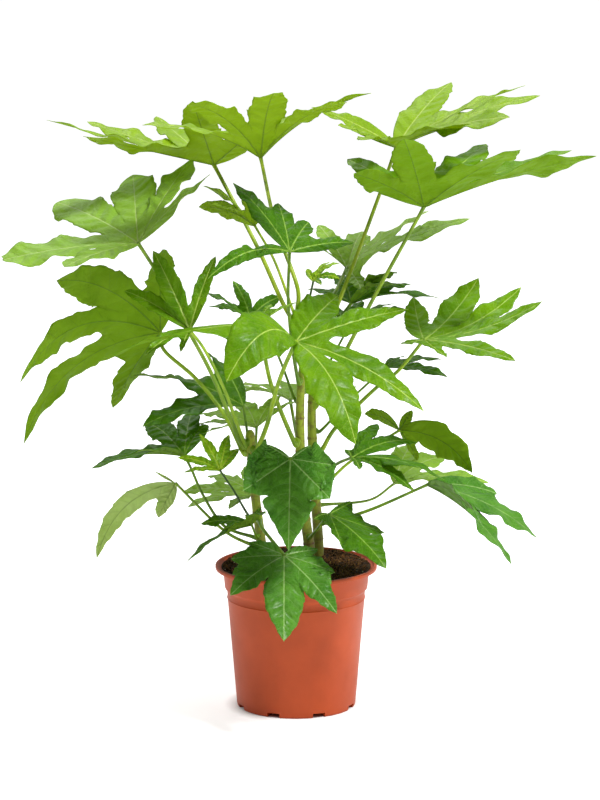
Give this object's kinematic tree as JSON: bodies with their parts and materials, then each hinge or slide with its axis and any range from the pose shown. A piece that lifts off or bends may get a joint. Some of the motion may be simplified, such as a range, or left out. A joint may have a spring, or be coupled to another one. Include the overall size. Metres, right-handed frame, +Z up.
{
  "type": "potted plant",
  "caption": "Potted fatsia: bare stems rise from soil in a round terracotta-coloured nursery pot and carry long-stalked, hand-shaped lobed leaves.",
  "frame": {"origin": "centre of the pot's underside, on the surface that the pot stands on", "axes": "+Z up, -Y towards the front, +X towards the right side"},
  "size_m": [0.7497, 0.5468, 0.8238],
  "materials": {
    "pot_plastic": "satin moulded plastic, terracotta colour",
    "soil": "matt, loose and fibrous",
    "stem": "matt green bark with leaf scars",
    "leaf_bright": "waxy semi-gloss, light green",
    "leaf_dark": "waxy gloss, dark green"
  },
  "bodies": {
    "root": {"leaf_back_centre": "leaf_bright", "leaf_back_inner": "leaf_bright", "leaf_back_left": "leaf_bright", "leaf_back_low": "leaf_bright", "leaf_back_pale": "leaf_bright", "leaf_back_right": "leaf_bright", "leaf_behind_front": "leaf_bright", "leaf_crown": "leaf_bright", "leaf_crown_back": "leaf_bright", "leaf_front_dark": "leaf_dark", "leaf_front_large": "leaf_bright", "leaf_front_right_low": "leaf_dark", "leaf_left_broad": "leaf_bright", "leaf_left_dark": "leaf_dark", "leaf_left_drooping": "leaf_bright", "leaf_left_glossy": "leaf_dark", "leaf_left_low_front": "leaf_bright", "leaf_left_middle": "leaf_bright", "leaf_left_reaching": "leaf_bright", "leaf_left_upper": "leaf_bright", "leaf_over_rim": "leaf_dark", "leaf_right_back_low": "leaf_bright", "leaf_right_bright": "leaf_bright", "leaf_right_dark": "leaf_dark", "leaf_right_drooping": "leaf_bright", "leaf_right_inner": "leaf_bright", "leaf_right_low_pale": "leaf_bright", "leaf_right_upper": "leaf_bright", "leaf_top_centre": "leaf_bright", "leaf_top_left": "leaf_bright", "leaf_top_right": "leaf_bright", "leaf_young_centre": "leaf_bright", "leaf_young_left": "leaf_bright", "pot": "pot_plastic", "soil": "soil", "stem_centre": "stem", "stem_left": "stem", "stem_right": "stem"}
  },
  "joints": []
}
